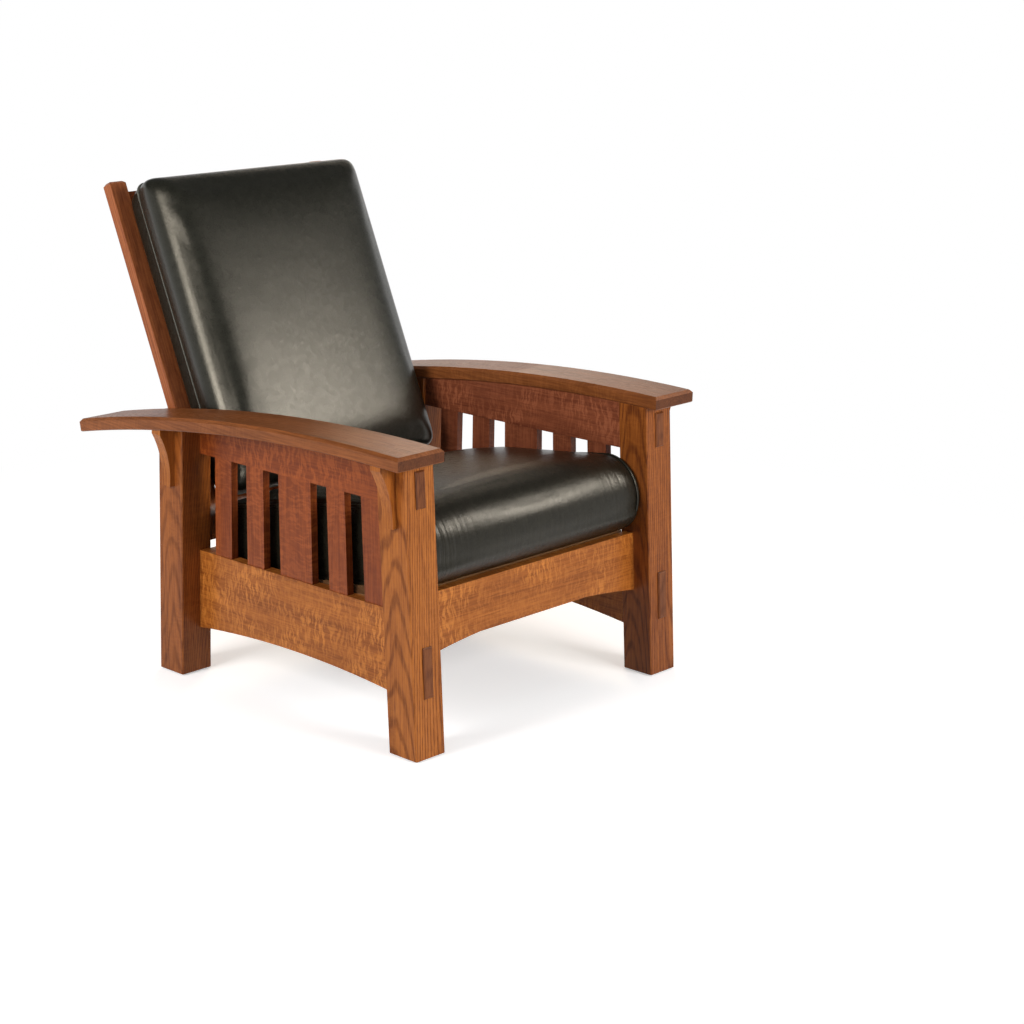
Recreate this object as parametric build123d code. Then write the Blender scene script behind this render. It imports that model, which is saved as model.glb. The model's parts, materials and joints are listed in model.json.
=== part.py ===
from build123d import *
import math
import os

# Mission reclining armchair with bowed arms, in oak, with two loose leather cushions.
# Lengths are in millimetres, +Z is up and the chair looks along -Y. Left and right are the
# sitter's, so the left side is at +X. While it is built, y is zero at the front feet, and at
# the end the whole chair is moved so that its origin is at the middle of its footprint.

# Legs and feet
legs_outer_width = 760.0
feet_depth = 783.0
leg_width = 76.0
leg_depth = 76.0
splay_angle = 2.8
leg_edge_chamfer = 2.0
glide_height = 3.0
glide_radius = 15.0

# Arms: a flat board on a large radius, highest a little behind the front legs
arm_thickness = 27.0
arm_inner_overhang = 2.0
arm_outer_overhang = 40.0
arm_front_reach = 2.0
arm_crown_height = 575.0
arm_crown_setback = 150.0
arm_bow_radius = 4010.0
arm_top_chamfer = 6.0
arm_bottom_chamfer = 2.0

# Side rails and side slats
side_rail_inset = 46.5
rail_thickness = 24.0
lower_rail_bottom = 99.0
lower_rail_height = 170.0
lower_rail_arch = 18.5
upper_rail_depth = 97.5
narrow_slat_width = 52.0
wide_slat_width = 96.0
side_slat_thickness = 16.0
side_slat_recess = 2.0
slat_tongue = 8.0

# Front and rear rails, measured up the slope of the legs
cross_rail_back_inset = 9.5
front_rail_rise = 37.5
front_rail_height = 123.5
front_rail_arch = 24.0
rear_rail_drop = 11.0
rear_rail_height = 108.0
rear_rail_arch = 20.0

# Tenons and other joinery
tenon_thickness = 12.0
tenon_shoulder = 15.0
upper_tenon_shoulder = 10.0
cross_tenon_length = 22.0
tenon_separation = 1.5
joint_clearance = 0.15
glue_gap = 0.1
dowel_radius = 5.0
dowel_in_leg = 28.0
dowel_in_arm = 14.0
dowel_spread = 18.0

# Tenon caps on the front faces of the front legs
cap_width = 24.0
upper_cap_height = 72.0
upper_cap_below_arm = 51.0
lower_cap_height = 100.0
lower_cap_above_rail_bottom = 72.0
cap_proud = 4.0
cap_seat_depth = 6.0
cap_chamfer = 2.5

# Corbels under the arms
corbel_thickness = 27.0
corbel_height = 120.0
corbel_top_reach = 36.0
corbel_tip_reach = 11.0
corbel_tip_height = 9.0
corbel_lip_height = 7.0
corbel_hollow = 7.5

# Seat deck
seat_slope = 6.5
seat_slat_count = 7
seat_slat_gap = 18.6
seat_slat_thickness = 15.0
seat_slat_side_gap = 1.5
deck_front_gap = 12.0
deck_rear_gap = 3.0
cleat_width = 22.0
cleat_height = 40.0
cleat_end_gap = 3.0

# Wood screws
screw_radius = 2.0
screw_head_radius = 4.0
screw_head_height = 3.0
cleat_screw_length = 34.0
cleat_screw_drop = 28.0
cleat_screw_inset = 30.0
cleat_screw_count = 4
slat_screw_length = 32.0

# Reclining back, measured up the back from its pivot
pivot_above_rear_rail = 42.0
pivot_behind_leg_front = 18.8
back_tilt = 23.4
recline_range = 18.0
recline_stops = 4
stile_width = 41.0
stile_depth = 25.0
stile_side_gap = 3.5
stile_top = 760.0
stile_foot = 20.0
stile_chamfer = 5.0
stile_foot_chamfer = 6.0
back_rail_thickness = 20.0
crest_top = 735.0
crest_height = 80.0
bottom_rail_start = 14.0
bottom_rail_height = 60.0
back_tenon_length = 12.0
back_tenon_thickness = 10.0
back_tenon_shoulder = 8.0
back_slat_thickness = 12.0

# Pivot pins, their bushings and the spacer washers
pivot_pin_radius = 6.0
pin_in_leg = 30.0
pin_in_stile = 24.0
bushing_wall = 2.0
running_clearance = 0.05
drive_clearance = 0.01
washer_rim = 7.0
washer_clearance = 0.3
pin_bore_spare = 2.0

# Adjusting rod behind the back, and the grooves for its ends in the arms
rod_radius = 12.0
rod_end_radius = 6.5
rod_end_length = 14.0
rod_side_gap = 1.5
rod_contact_gap = 0.3
rod_chamfer = 1.5
groove_clearance = 0.2
groove_depth = 16.0
groove_end_from_arm_end = 34.0
groove_seat_depth = 2.0

# Seat cushion, measured along and square to the seat deck
soft_clearance = 0.4
seat_cushion_side_gap = 13.5
seat_cushion_nose_place = 32.0
seat_cushion_front_height = 171.0
seat_cushion_rear_height = 127.0
seat_cushion_rear_gap = 23.5
seat_cushion_crown = 26.0
seat_cushion_side_crown = 6.0
seat_cushion_draw_in = 7.0
seat_shoulder_share = 0.86

# Back cushion, measured up the back and forwards from the stiles' front faces
back_cushion_seat_gap = 17.0
back_cushion_above_crest = 7.0
back_cushion_top_fall = 12.0
back_cushion_side_gap = 20.0
back_cushion_depth = 133.0
back_cushion_crown = 8.0
back_cushion_widest_depth = 64.0
back_cushion_rear_taper = 54.0
back_cushion_side_bulge = 7.0
back_cushion_front_round = 16.0
back_cushion_end_draw_in = 12.0
back_cushion_end_round = 90.0

# Oversize of every cutting solid past the faces that it cuts
overrun = 5.0

leg_outer_x = legs_outer_width / 2
leg_inner_x = leg_outer_x - leg_width
leg_centre_x = leg_outer_x - leg_width / 2
arm_inner_x = leg_inner_x - arm_inner_overhang
arm_outer_x = leg_outer_x + arm_outer_overhang
rail_outer_x = leg_outer_x - side_rail_inset
rail_inner_x = rail_outer_x - rail_thickness
lower_rail_top = lower_rail_bottom + lower_rail_height
upper_rail_bottom = arm_crown_height - upper_rail_depth
cross_rail_inset = leg_depth - rail_thickness - cross_rail_back_inset
front_rail_top = lower_rail_top + front_rail_rise
front_rail_bottom = front_rail_top - front_rail_height
rear_rail_top = lower_rail_top - rear_rail_drop
rear_rail_bottom = rear_rail_top - rear_rail_height
middle_y = feet_depth / 2
splay = math.radians(splay_angle)
leg_level_depth = leg_depth / math.cos(splay)
bow_centre_z = arm_crown_height - arm_bow_radius
side_tenon_length = (
    cross_rail_back_inset + (rail_thickness - tenon_thickness) / 2 - tenon_separation
)


def front_face(z):
    """Front face of a front leg, at a height."""
    return z * math.tan(splay)


def front_leg_back(z):
    """Rear face of a front leg, at a height."""
    return front_face(z) + leg_level_depth


def rear_leg_front(z):
    """Front face of a rear leg, at a height."""
    return feet_depth - front_leg_back(z)


def bow_z(y, lift=0.0):
    """Height of the arm's underside, or of a line above it, over one place on the floor."""
    radius = arm_bow_radius + lift
    return bow_centre_z + math.sqrt(radius**2 - (y - arm_crown_setback) ** 2)


def side_prism(outline, inner_x, thickness):
    """Board whose outline is drawn in y and z, from inner_x outwards."""
    return extrude(Plane.YZ.offset(inner_x) * make_face(outline), amount=thickness, dir=(1, 0, 0))


def side_board(points, inner_x, thickness):
    return side_prism(Polyline(*points, close=True), inner_x, thickness)


def to_right(piece):
    return mirror(piece, about=Plane.YZ)


def front_to_rear(piece):
    return mirror(piece, about=Plane.XZ.offset(-middle_y))


def bow_arc(y_start, y_end, lift=0.0):
    y_between = (y_start + y_end) / 2
    stations = (y_start, y_between, y_end)
    return ThreePointArc(*((y, bow_z(y, lift)) for y in stations))


def space_above_arm_underside():
    """Everything above the arm's underside, to trim the pieces that meet it."""
    y_start = -overrun
    y_end = feet_depth + overrun
    low = bow_arc(y_start, y_end, -glue_gap)
    top_z = arm_crown_height + leg_depth
    rise = Polyline(low @ 1, (y_end, top_z), (y_start, top_z), low @ 0)
    start_x = leg_inner_x - overrun
    reach = leg_width + corbel_top_reach + 2 * overrun
    return side_prism([low, rise], start_x, reach)


above_arm = space_above_arm_underside()


def leg_blank():
    """A front leg of the left side, too tall, with its long edges softened."""
    top_z = arm_crown_height + overrun
    low_z = glide_height
    corners = [
        (front_face(low_z), low_z),
        (front_leg_back(low_z), low_z),
        (front_leg_back(top_z), top_z),
        (front_face(top_z), top_z),
    ]
    blank = side_board(corners, leg_inner_x, leg_width)
    long_edges = blank.edges().filter_by(
        lambda edge: abs(edge.tangent_at(0.5).Z) > math.cos(2 * splay)
    )
    return chamfer(long_edges, length=leg_edge_chamfer)


def lower_rail_outline():
    low, top = lower_rail_bottom, lower_rail_top
    arch = ThreePointArc(
        (front_leg_back(low), low),
        (middle_y, low + lower_rail_arch),
        (rear_leg_front(low), low),
    )
    rest = Polyline(arch @ 1, (rear_leg_front(top), top), (front_leg_back(top), top), arch @ 0)
    return [arch, rest]


def side_tenon(low_front, low_rear, top_front, top_rear, grow=0.0):
    """Tenons of a side rail into both legs, made as one board through the rail."""
    reach = side_tenon_length + grow
    corners = [
        (front_leg_back(low_front) - reach, low_front - grow),
        (rear_leg_front(low_rear) + reach, low_rear - grow),
        (rear_leg_front(top_rear) + reach, top_rear + grow),
        (front_leg_back(top_front) - reach, top_front + grow),
    ]
    inner_x = rail_inner_x + (rail_thickness - tenon_thickness) / 2 - grow
    return side_board(corners, inner_x, tenon_thickness + 2 * grow)


def lower_side_tenon(grow=0.0):
    low = lower_rail_bottom + lower_rail_arch + tenon_shoulder
    top = lower_rail_top - tenon_shoulder
    return side_tenon(low, low, top, top, grow)


def upper_side_tenon(grow=0.0):
    low = upper_rail_bottom + upper_tenon_shoulder
    top_front = bow_z(front_leg_back(arm_crown_height)) - upper_tenon_shoulder
    top_rear = bow_z(rear_leg_front(upper_rail_bottom) + side_tenon_length) - upper_tenon_shoulder
    return side_tenon(low, low, top_front, top_rear, grow)


def slat_places(clear_width):
    """Middles and widths of narrow, narrow, wide, narrow, narrow slats with even gaps."""
    widths = [narrow_slat_width] * 2 + [wide_slat_width] + [narrow_slat_width] * 2
    gap = (clear_width - sum(widths)) / (len(widths) + 1)
    places = []
    edge = -clear_width / 2
    for width in widths:
        edge += gap
        places.append((edge + width / 2, width))
        edge += width
    return places


def side_slats(grow=0.0):
    """The five slats of the left side, fanned between the leaning legs."""
    middle_z = (lower_rail_top + upper_rail_bottom) / 2
    clear_width = rear_leg_front(middle_z) - front_leg_back(middle_z)
    height = upper_rail_bottom - lower_rail_top + 2 * slat_tongue
    middle_x = rail_outer_x - side_slat_recess - side_slat_thickness / 2
    slats = []
    for place, width in slat_places(clear_width):
        lean = splay_angle * place / (clear_width / 2)
        slat = Box(side_slat_thickness + 2 * grow, width + 2 * grow, height + 2 * grow)
        slats.append(Pos(middle_x, middle_y + place, middle_z) * Rot(lean, 0, 0) * slat)
    return slats


def lower_side_rail():
    rail = side_prism(lower_rail_outline(), rail_inner_x, rail_thickness) + lower_side_tenon()
    for slat in side_slats(joint_clearance):
        rail -= slat
    return rail - cleat_screw_bores()


def upper_side_rail():
    top_z = arm_crown_height + overrun
    low_z = upper_rail_bottom
    corners = [
        (front_leg_back(low_z), low_z),
        (rear_leg_front(low_z), low_z),
        (rear_leg_front(top_z), top_z),
        (front_leg_back(top_z), top_z),
    ]
    rail = side_board(corners, rail_inner_x, rail_thickness) - above_arm + upper_side_tenon()
    for slat in side_slats(joint_clearance):
        rail -= slat
    return rail


def cross_rail_solid(bottom, top, arch_rise):
    """Front rail with its tenons, standing on the slope of the front legs."""
    half = leg_inner_x
    arch = ThreePointArc((-half, bottom), (0, bottom + arch_rise), (half, bottom))
    rest = Polyline(arch @ 1, (half, top), (-half, top), arch @ 0)
    face = Plane.XZ.offset(-cross_rail_inset) * make_face([arch, rest])
    board = extrude(face, amount=rail_thickness, dir=(0, 1, 0))
    return Rot(-splay_angle, 0, 0) * board + cross_tenon(bottom, top)


def cross_tenon(bottom, top, grow=0.0):
    low = bottom + tenon_shoulder
    high = top - tenon_shoulder
    length = 2 * (leg_inner_x + cross_tenon_length + grow)
    bar = Box(length, tenon_thickness + 2 * grow, high - low + 2 * grow)
    middle = Pos(0, cross_rail_inset + rail_thickness / 2, (low + high) / 2)
    return Rot(-splay_angle, 0, 0) * middle * bar


def cap_place(centre_height):
    on_leg = Rot(-splay_angle, 0, 0) * Pos(leg_centre_x, 0, centre_height)
    return on_leg


def tenon_cap(centre_height, height):
    """End of a through tenon, proud of the leg and chamfered on its four front edges."""
    depth = cap_proud + cap_seat_depth
    cap = Box(cap_width, depth, height)
    cap = chamfer(cap.faces().sort_by(Axis.Y)[0].edges(), length=cap_chamfer)
    return cap_place(centre_height) * Pos(0, depth / 2 - cap_proud, 0) * cap


def cap_mortise(centre_height, height):
    pocket = Box(cap_width + 2 * glue_gap, 2 * cap_seat_depth, height + 2 * glue_gap)
    return cap_place(centre_height) * pocket


caps = {
    "upper": (arm_crown_height - upper_cap_below_arm, upper_cap_height),
    "lower": (lower_rail_bottom + lower_cap_above_rail_bottom, lower_cap_height),
}


def corbel(leg_middle_top_z):
    """Bracket on the outer face of a left leg, in the slope of the front legs."""
    low = leg_middle_top_z - corbel_height
    high = leg_middle_top_z - corbel_lip_height
    tip = (leg_outer_x + corbel_tip_reach, low + corbel_tip_height)
    lip = (leg_outer_x + corbel_top_reach, high)
    chord = Vector(*lip) - Vector(*tip)
    inwards = Vector(-chord.Y, chord.X).normalized() * corbel_hollow
    between = (Vector(*lip) + Vector(*tip)) / 2 + inwards
    hollow = ThreePointArc(lip, between, tip)
    over_z = arm_crown_height + overrun
    rest = Polyline(
        tip,
        (tip[0], low),
        (leg_outer_x, low),
        (leg_outer_x, over_z),
        (lip[0], over_z),
        lip,
    )
    start_y = (leg_depth - corbel_thickness) / 2
    face = Plane.XZ.offset(-start_y) * make_face([hollow, rest])
    return Rot(-splay_angle, 0, 0) * extrude(face, amount=corbel_thickness, dir=(0, 1, 0))


def leg_middle(top_z):
    return front_face(top_z) + leg_level_depth / 2


front_top_z = bow_z(leg_middle(arm_crown_height))
rear_middle_y = feet_depth - leg_middle(bow_z(rear_leg_front(arm_crown_height)))
rear_top_z = bow_z(rear_middle_y)


def arm_dowels(grow=0.0):
    """Upright dowels of one side, two in each leg."""
    dowels = []
    for middle, top in ((leg_middle(front_top_z), front_top_z), (rear_middle_y, rear_top_z)):
        for side in (-dowel_spread, dowel_spread):
            length = dowel_in_leg + dowel_in_arm + 2 * grow
            centre_z = top + (dowel_in_arm - dowel_in_leg) / 2
            bar = Cylinder(dowel_radius + grow, length)
            dowels.append(Pos(leg_centre_x + side, middle, centre_z) * bar)
    return dowels


# Seat deck: its own line starts at the top of the front rail's rear edge and falls to the rear
deck_angle = math.radians(seat_slope)
deck_along = Vector(0, math.cos(deck_angle), -math.sin(deck_angle))
deck_up = Vector(0, math.sin(deck_angle), math.cos(deck_angle))
rail_back = cross_rail_inset + rail_thickness
deck_start = Vector(
    0,
    rail_back * math.cos(splay) + front_rail_top * math.sin(splay),
    front_rail_top * math.cos(splay) - rail_back * math.sin(splay),
)
deck_end_y = rear_leg_front(rear_rail_top) - deck_rear_gap
deck_length = (deck_end_y - deck_start.Y) / math.cos(deck_angle)
cleat_start = deck_front_gap + cleat_end_gap
cleat_length = deck_length - cleat_start - cleat_end_gap


def on_deck(x, along, up):
    """Location on the seat deck, turned to its slope."""
    spot = deck_start + deck_along * along + deck_up * up
    return Pos(x, spot.Y, spot.Z) * Rot(-seat_slope, 0, 0)


seat_slat_step = (deck_length - deck_front_gap + seat_slat_gap) / seat_slat_count
seat_slat_width = seat_slat_step - seat_slat_gap
seat_slat_places = [
    deck_front_gap + seat_slat_width / 2 + seat_slat_step * i for i in range(seat_slat_count)
]


def countersunk_screw(length, grow=0.0):
    """Screw that points down, with the middle of its head's top at the origin."""
    shank = Pos(0, 0, -length / 2) * Cylinder(screw_radius + grow, length)
    head = Pos(0, 0, -screw_head_height / 2) * Cone(
        screw_radius + grow, screw_head_radius + grow, screw_head_height
    )
    return shank + head


def slat_screws(grow=0.0):
    x = rail_inner_x - cleat_width / 2
    return [
        on_deck(side * x, along, 0) * countersunk_screw(slat_screw_length, grow)
        for along in seat_slat_places
        for side in (1, -1)
    ]


def cleat_screws(grow=0.0):
    """Screws of the left cleat, which point outwards into the lower side rail."""
    start = cleat_start + cleat_screw_inset
    step = (cleat_length - 2 * cleat_screw_inset) / (cleat_screw_count - 1)
    up = -seat_slat_thickness - cleat_screw_drop
    inner_x = rail_inner_x - cleat_width
    return [
        on_deck(inner_x, start + step * i, up)
        * Rot(0, -90, 0)
        * countersunk_screw(cleat_screw_length, grow)
        for i in range(cleat_screw_count)
    ]


def cleat_screw_bores():
    return Compound(children=cleat_screws(glue_gap))


def side_cleat():
    """Sloping strip inside the left lower rail that the seat slats lie on."""
    strip = Box(cleat_width, cleat_length, cleat_height)
    middle_x = rail_inner_x - cleat_width / 2
    middle_up = -seat_slat_thickness - cleat_height / 2
    strip = on_deck(middle_x, cleat_start + cleat_length / 2, middle_up) * strip
    strip -= cleat_screw_bores()
    for screw in slat_screws(glue_gap):
        strip -= screw
    return strip


def seat_slats():
    slats = []
    length = 2 * (rail_inner_x - seat_slat_side_gap)
    bores = slat_screws(glue_gap)
    for i, along in enumerate(seat_slat_places):
        slat = on_deck(0, along, -seat_slat_thickness / 2) * Box(
            length, seat_slat_width, seat_slat_thickness
        )
        for bore in bores[2 * i : 2 * i + 2]:
            slat -= bore
        slats.append(slat)
    return slats


# Reclining back: built upright with its pivot at the origin, then leant back on the pivot
pivot_height = rear_rail_top + pivot_above_rear_rail
pivot_setback = rear_leg_front(pivot_height) + pivot_behind_leg_front
back_place = Pos(0, pivot_setback, pivot_height) * Rot(-back_tilt, 0, 0)
stile_outer_x = arm_inner_x - stile_side_gap
stile_inner_x = stile_outer_x - stile_width
bushing_radius = pivot_pin_radius + running_clearance + bushing_wall
washer_radius = pivot_pin_radius + washer_rim
back_front_y = -stile_depth / 2
crest_bottom = crest_top - crest_height
bottom_rail_top = bottom_rail_start + bottom_rail_height


def back_rail(low, high):
    """Rail between the stiles, with a tenon into each."""
    height = high - low
    rail = Box(2 * stile_inner_x, back_rail_thickness, height)
    return Pos(0, 0, (low + high) / 2) * rail + back_tenon(low, high)


def back_tenon(low, high, grow=0.0):
    length = 2 * (stile_inner_x + back_tenon_length + grow)
    height = high - low - 2 * back_tenon_shoulder + 2 * grow
    bar = Box(length, back_tenon_thickness + 2 * grow, height)
    return Pos(0, 0, (low + high) / 2) * bar


def stile():
    height = stile_top + stile_foot
    post = Pos(0, 0, stile_top - height / 2) * Box(stile_width, stile_depth, height)
    ends = post.faces().sort_by(Axis.Z)
    post = chamfer(ends[-1].edges(), length=stile_chamfer)
    foot = post.faces().sort_by(Axis.Z)[0].edges().filter_by(Axis.X)
    post = chamfer(foot, length=stile_foot_chamfer)
    post = Pos((stile_inner_x + stile_outer_x) / 2, 0, 0) * post
    post -= back_tenon(bottom_rail_start, bottom_rail_top, joint_clearance)
    post -= back_tenon(crest_bottom, crest_top, joint_clearance)
    bore_length = pin_in_stile + pin_bore_spare
    bore = Rot(0, 90, 0) * Cylinder(bushing_radius + drive_clearance, 2 * bore_length)
    return post - Pos(stile_outer_x, 0, 0) * bore


def pivot_bushing():
    length = pin_in_stile + pin_bore_spare
    tube = Cylinder(bushing_radius, length)
    tube -= Cylinder(pivot_pin_radius + running_clearance, 2 * length)
    return Pos(stile_outer_x - length / 2, 0, 0) * Rot(0, 90, 0) * tube


def pivot_pin(grow=0.0):
    """Steel pin from the rear leg into the bushing in the stile."""
    start_x = stile_outer_x - pin_in_stile
    length = leg_inner_x + pin_in_leg + grow - start_x
    pin = Cylinder(pivot_pin_radius + grow, length)
    return Pos(start_x + length / 2, pivot_setback, pivot_height) * Rot(0, 90, 0) * pin


def pivot_washer():
    thickness = leg_inner_x - stile_outer_x - washer_clearance
    ring = Cylinder(washer_radius, thickness)
    ring -= Cylinder(pivot_pin_radius + running_clearance, 2 * thickness)
    place = Pos(leg_inner_x - thickness / 2, pivot_setback, pivot_height)
    return place * Rot(0, 90, 0) * ring


def back_slats(grow=0.0):
    low = bottom_rail_top - slat_tongue
    high = crest_bottom + slat_tongue
    slats = []
    for place, width in slat_places(2 * stile_inner_x):
        slat = Box(width + 2 * grow, back_slat_thickness + 2 * grow, high - low + 2 * grow)
        slats.append(Pos(place, 0, (low + high) / 2) * slat)
    return slats


def back_rail_with_mortises(low, high):
    rail = back_rail(low, high)
    for slat in back_slats(joint_clearance):
        rail -= slat
    return rail


# Adjusting rod: it slides down the grooves as the back reclines, always just behind the stiles.
# The grooves run through the spot on the arms that the rod has at half the recline.
mid_radius = arm_bow_radius + arm_thickness / 2
half_recline = math.radians(back_tilt + recline_range / 2)
rod_behind_pivot = (stile_depth / 2 + rod_contact_gap + rod_radius) / math.cos(half_recline)
groove_y = pivot_setback
for _ in range(recline_stops):
    groove_rise = bow_z(groove_y, arm_thickness / 2) - pivot_height
    groove_y = pivot_setback + rod_behind_pivot + groove_rise * math.tan(half_recline)
groove_slope = math.asin((groove_y - arm_crown_setback) / mid_radius)
groove_z = bow_z(groove_y, arm_thickness / 2)


def rod_station(recline):
    """Place of the rod along the groove when it touches the stiles at a recline angle."""
    tilt = math.radians(back_tilt + recline)
    offset = stile_depth / 2 + rod_contact_gap + rod_radius
    over_y = (groove_y - pivot_setback) * math.cos(tilt)
    over_z = (groove_z - pivot_height) * math.sin(tilt)
    return (offset - over_y + over_z) / math.cos(tilt - groove_slope)


def groove_point(station, drop=0.0):
    y = groove_y + station * math.cos(groove_slope) - drop * math.sin(groove_slope)
    z = groove_z - station * math.sin(groove_slope) - drop * math.cos(groove_slope)
    return y, z


rod_rest = rod_station(0.0)
rod_travel = rod_station(recline_range) - rod_rest
groove_end_y, _ = groove_point(rod_rest + rod_travel)
arm_end_y = groove_end_y + rod_end_radius + groove_clearance + groove_end_from_arm_end


def arm_groove():
    """Stopped groove in the left arm's inner edge, with a shallow seat for each stop."""
    radius = rod_end_radius + groove_clearance
    middle = groove_point(rod_rest + rod_travel / 2)
    slot = SlotCenterToCenter(rod_travel, 2 * radius)
    outline = Pos(*middle) * Rot(0, 0, -math.degrees(groove_slope)) * slot
    for stop in range(recline_stops):
        recline = recline_range * stop / (recline_stops - 1)
        seat = groove_point(rod_station(recline), groove_seat_depth)
        outline += Pos(*seat) * Circle(radius)
    face = Plane.YZ.offset(arm_inner_x - overrun) * outline
    return extrude(face, amount=groove_depth + overrun, dir=(1, 0, 0))


def arm():
    """Left arm, with its groove and dowel holes."""
    start_y = arm_front_reach
    end_y = arm_end_y
    low = bow_arc(start_y, end_y)
    stretch = (arm_bow_radius + arm_thickness) / arm_bow_radius
    high_start = arm_crown_setback + (start_y - arm_crown_setback) * stretch
    high_end = arm_crown_setback + (end_y - arm_crown_setback) * stretch
    high = bow_arc(high_end, high_start, arm_thickness)
    outline = [low, Line(low @ 1, high @ 0), high, Line(high @ 1, low @ 0)]
    board = side_prism(outline, arm_inner_x, arm_outer_x - arm_inner_x)
    curved = board.faces().filter_by(GeomType.CYLINDER).sort_by(SortBy.AREA)
    board = chamfer(curved[-1].edges(), length=arm_top_chamfer)
    curved = board.faces().filter_by(GeomType.CYLINDER).sort_by(Axis.Z)
    board = chamfer(curved[0].edges(), length=arm_bottom_chamfer)
    board -= arm_groove()
    for dowel in arm_dowels(glue_gap):
        board -= dowel
    return board


def adjusting_rod():
    half = arm_inner_x - rod_side_gap
    bar = chamfer(Cylinder(rod_radius, 2 * half).edges(), length=rod_chamfer)
    ends = Cylinder(rod_end_radius, 2 * (arm_inner_x + rod_end_length))
    ends = chamfer(ends.edges(), length=rod_chamfer)
    y, z = groove_point(rod_rest)
    return Pos(0, y, z) * Rot(0, 90, 0) * (bar + ends)


# Cushions
seat_cushion_half_width = rail_inner_x - seat_cushion_side_gap
seat_cushion_length = deck_length - seat_cushion_rear_gap
back_cushion_half_width = arm_inner_x - back_cushion_side_gap
back_cushion_top = crest_top + back_cushion_above_crest


def seat_top(along):
    """Height of the seat cushion's crowned top over the deck, at one place along it."""
    share = (along - seat_cushion_nose_place) / (seat_cushion_length - seat_cushion_nose_place)
    fall = seat_cushion_front_height - seat_cushion_rear_height
    return seat_cushion_front_height - fall * share + 4 * seat_cushion_crown * share * (1 - share)


def clear_of_seat():
    """How far up the back its cushion starts, so that its front corner clears the seat."""
    up_back = Vector(0, math.sin(math.radians(back_tilt)), math.cos(math.radians(back_tilt)))
    forwards = Vector(0, -up_back.Z, up_back.Y)
    pivot = Vector(0, pivot_setback, pivot_height)
    below = pivot + forwards * (stile_depth / 2 + back_cushion_depth) - deck_start
    start = 0.0
    for _ in range(recline_stops):
        corner = below + up_back * start
        over = corner.dot(deck_up) - seat_top(corner.dot(deck_along))
        start += (back_cushion_seat_gap - over) / up_back.dot(deck_up)
    return start


back_cushion_bottom = clear_of_seat()


def seat_cushion_section(x, crown, front_height, rear_height, nose_place):
    """Closed outline at one place across the seat: flat base, round nose, crowned top."""
    base = soft_clearance
    radius = (front_height - base) / 2
    arc_share = math.sqrt(0.5)
    chin = (nose_place, base)
    chin_middle = (nose_place - radius * arc_share, base + radius * (1 - arc_share))
    nose = (nose_place - radius, base + radius)
    brow_middle = (nose_place - radius * arc_share, base + radius * (1 + arc_share))
    brow = (nose_place, front_height)
    rear = (seat_cushion_length, rear_height)
    top_middle = (
        (nose_place + seat_cushion_length) / 2,
        (front_height + rear_height) / 2 + crown,
    )
    edges = [
        ThreePointArc(chin, chin_middle, nose),
        ThreePointArc(nose, brow_middle, brow),
        ThreePointArc(brow, top_middle, rear),
        Line(rear, (seat_cushion_length, base)),
        Line((seat_cushion_length, base), chin),
    ]
    plane = Plane(origin=(x, deck_start.Y, deck_start.Z), x_dir=deck_along, z_dir=(1, 0, 0))
    return plane * make_face(edges)


def seat_cushion():
    """Thick seat cushion with a bull nose, crowned top and sides that draw in at the ends."""
    draw = seat_cushion_draw_in
    front = seat_cushion_front_height
    rear = seat_cushion_rear_height
    end = (seat_cushion_side_crown, front - 2 * draw, rear - draw, seat_cushion_nose_place)
    full = (seat_cushion_crown, front, rear, seat_cushion_nose_place)
    between = ((seat_cushion_side_crown + seat_cushion_crown) / 2, *full[1:])
    half = seat_cushion_half_width
    shoulder = half * seat_shoulder_share
    stations = ((-half, end), (-shoulder, between), (0, full), (shoulder, between), (half, end))
    return loft([seat_cushion_section(x, *shape) for x, shape in stations])


def back_cushion_section(along, draw_in, rear_in, crown, fall=0.0):
    """Closed outline at one height up the back: flat rear, drawn-in sides, crowned front."""
    rear_y = -back_rail_thickness / 2 - soft_clearance
    half = back_cushion_half_width - draw_in
    front = draw_in - back_cushion_depth
    right = [
        (half - back_cushion_rear_taper, -rear_in),
        (half, -back_cushion_widest_depth),
        (half - back_cushion_front_round / 4, front + back_cushion_front_round),
        (half - back_cushion_front_round, front),
    ]
    bulges = (back_cushion_side_bulge, back_cushion_side_bulge / 8, back_cushion_front_round / 5)
    left = [(-x, y) for x, y in reversed(right)]
    edges = [ThreePointArc(right[-1], (0, front - crown), left[0])]
    edges += [SagittaArc(right[i], right[i + 1], -bulge) for i, bulge in enumerate(bulges)]
    edges += [SagittaArc(left[i], left[i + 1], -bulge) for i, bulge in enumerate(bulges[::-1])]
    edges.append(Line(left[-1], right[0]))
    place = Pos(0, rear_y, along) * Rot(fall, 0, 0)
    return place * make_face(edges)


def back_cushion():
    """Cushion with drawn-in rear sides, a crowned front and round ends."""
    end = back_cushion_end_round
    draw = back_cushion_end_draw_in
    crown = back_cushion_crown
    fall = back_cushion_top_fall
    bottom, top = back_cushion_bottom, back_cushion_top
    stations = [
        (bottom, draw, draw, crown / 4),
        (bottom + end, draw / 5, 0, crown / 2),
        ((bottom + top) / 2, 0, 0, crown),
        (top - end, draw / 5, 0, crown / 2, fall),
        (top, draw, draw, crown / 4, fall),
    ]
    return loft([back_cushion_section(*station) for station in stations])


def front_leg():
    leg = leg_blank() - above_arm - lower_side_tenon(joint_clearance)
    leg -= upper_side_tenon(joint_clearance)
    leg -= cross_tenon(front_rail_bottom, front_rail_top, joint_clearance)
    for centre, height in caps.values():
        leg -= cap_mortise(centre, height)
    for dowel in arm_dowels(glue_gap):
        leg -= dowel
    return leg


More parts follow.
